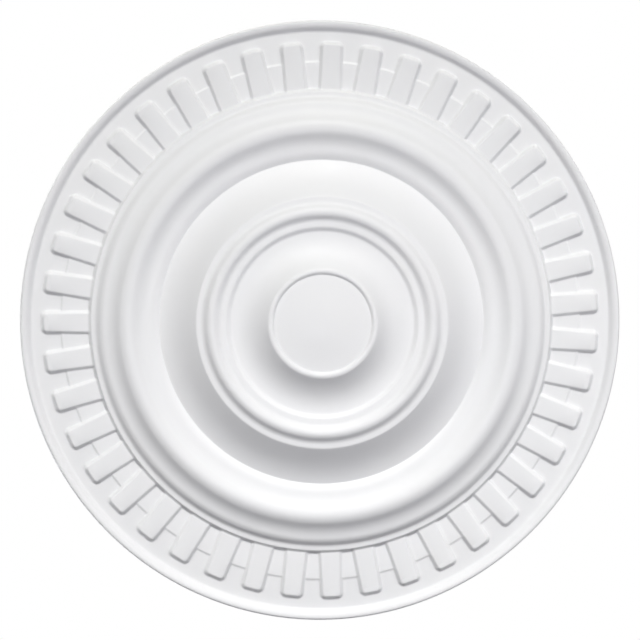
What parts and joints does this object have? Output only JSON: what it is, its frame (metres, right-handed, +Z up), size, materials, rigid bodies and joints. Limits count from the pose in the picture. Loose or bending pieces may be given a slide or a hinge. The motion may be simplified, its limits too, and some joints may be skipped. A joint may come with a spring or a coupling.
{
  "type": "ceiling rose",
  "caption": "Round moulded ceiling rose: crowned centre disc, coves and roll mouldings, a ring of radial dentil blocks and a beaded rim, in primed white.",
  "frame": {"origin": "centre of the flat back, where it bears on the ceiling", "axes": "+Z up, out of the back into the ceiling; the moulded face looks down along -Z; one dentil block lies along +X"},
  "size_m": [0.6, 0.5996, 0.0526],
  "materials": {
    "primed_white": "smooth satin factory primer on rigid polyurethane foam"
  },
  "bodies": {
    "root": {"ceiling_rose": "primed_white"}
  },
  "joints": []
}
